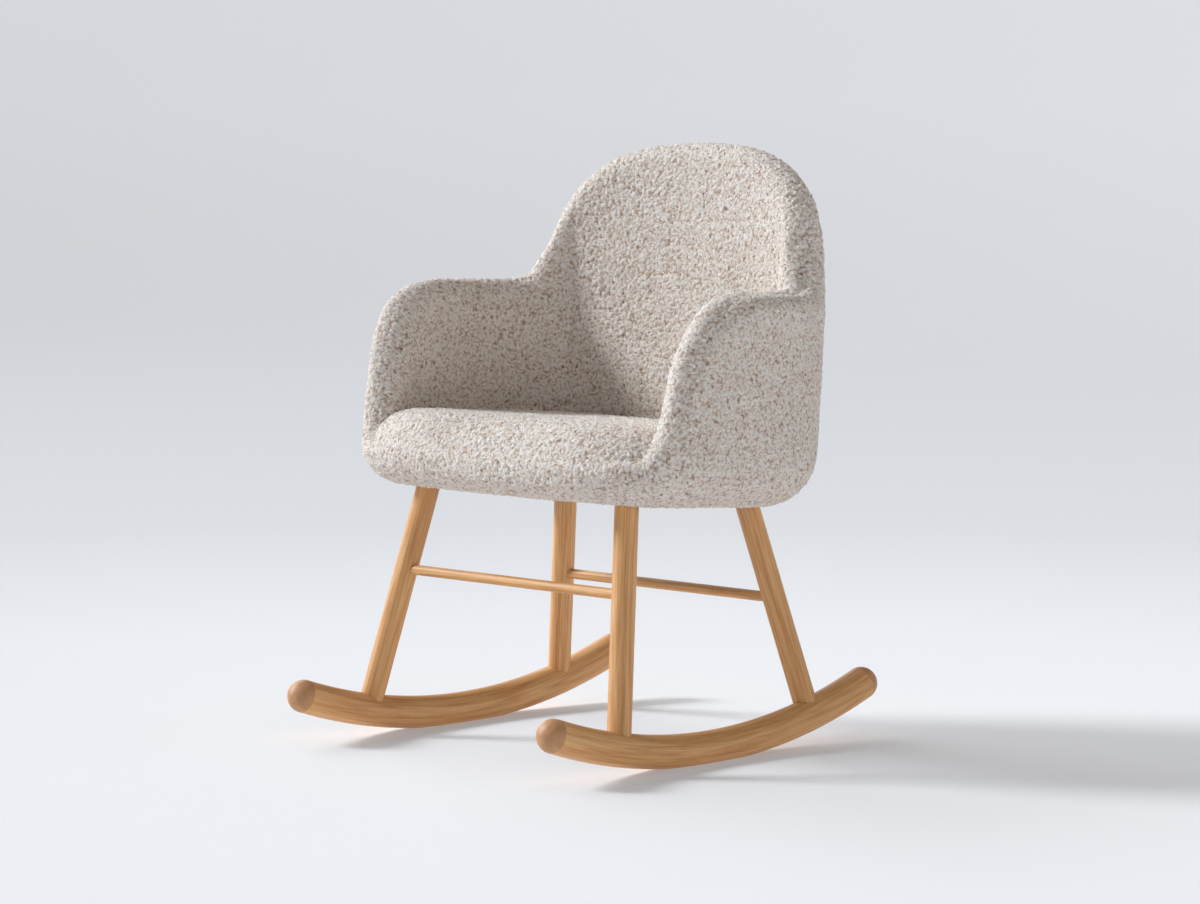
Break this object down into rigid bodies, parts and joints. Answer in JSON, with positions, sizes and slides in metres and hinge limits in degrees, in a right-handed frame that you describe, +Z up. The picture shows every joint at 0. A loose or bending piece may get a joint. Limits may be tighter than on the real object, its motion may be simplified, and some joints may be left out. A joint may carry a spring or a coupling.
{
  "type": "upholstered rocking chair",
  "caption": "Tub-shaped rocking chair covered in looped beige fabric, on splayed round wooden legs joined by thin stretchers and standing on curved round wooden runners.",
  "frame": {"origin": "on the floor, in the plane of symmetry, between the flats planed under the two runners", "axes": "+Z up, -Y to the chair's front, +X to the sitter's left"},
  "size_m": [0.656, 0.6374, 0.8094],
  "materials": {
    "boucle": "beige looped pile fabric",
    "foam": "upholstery foam",
    "oak": "light hardwood, clear matt lacquer",
    "plywood": "plain plywood",
    "hardwood": "planed hardwood",
    "zinc_steel": "zinc plated",
    "dust_cloth": "black non-woven cloth"
  },
  "bodies": {
    "root": {"seat_foam": "foam", "outer_foam": "foam", "inner_foam": "foam", "front_roll": "foam", "outer_cover": "boucle", "inner_cover": "boucle", "seat_cover": "boucle", "runner_left": "oak", "runner_right": "oak", "leg_front_left": "oak", "leg_front_right": "oak", "leg_rear_left": "oak", "leg_rear_right": "oak", "stretcher_front": "oak", "stretcher_rear": "oak", "base_board": "plywood", "seat_board": "plywood", "tub_shell": "plywood", "front_rail": "hardwood", "rear_rail": "hardwood", "rail_bolts": "zinc_steel", "tee_nuts": "zinc_steel", "shell_screws": "zinc_steel", "cloth_staples": "zinc_steel", "dust_cloth": "dust_cloth"}
  },
  "joints": []
}
